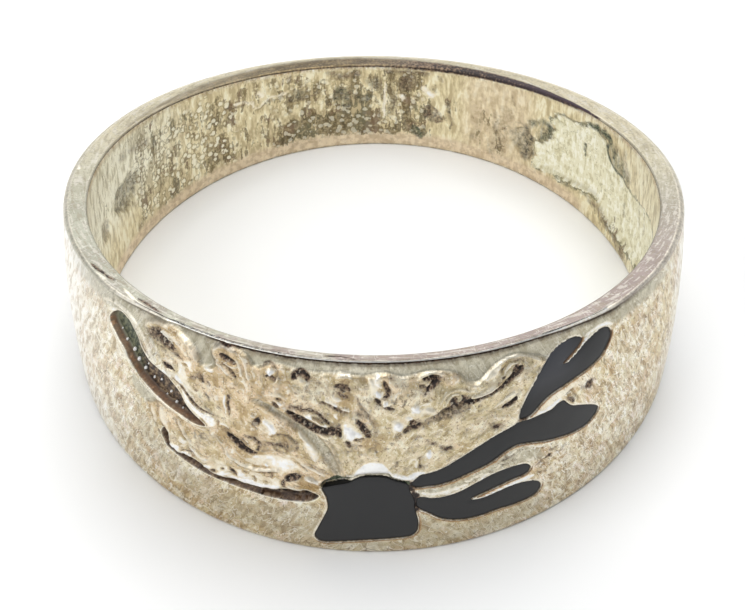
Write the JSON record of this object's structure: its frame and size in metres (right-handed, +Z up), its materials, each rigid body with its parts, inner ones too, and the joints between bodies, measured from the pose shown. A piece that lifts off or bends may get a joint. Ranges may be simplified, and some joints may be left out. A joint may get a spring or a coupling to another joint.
{
  "type": "band ring",
  "caption": "Tapered cast finger ring, wide in front and narrow behind, with low cast relief and dark enamel inlay.",
  "frame": {"origin": "on the surface that the ring lies on, under the middle of the finger hole", "axes": "+Z up from that surface, -Y towards the wide decorated front, +X to the right as seen from the front"},
  "size_m": [0.0209, 0.0211, 0.0077],
  "materials": {
    "silver": "cast silver, worn satin with warm tarnish, darker in the pits",
    "enamel": "charcoal enamel with a soft sheen"
  },
  "bodies": {
    "root": {"band": "silver", "inlay_body": "enamel", "inlay_branch": "enamel", "inlay_upper_fork": "enamel", "inlay_lower_fork": "enamel"}
  },
  "joints": []
}
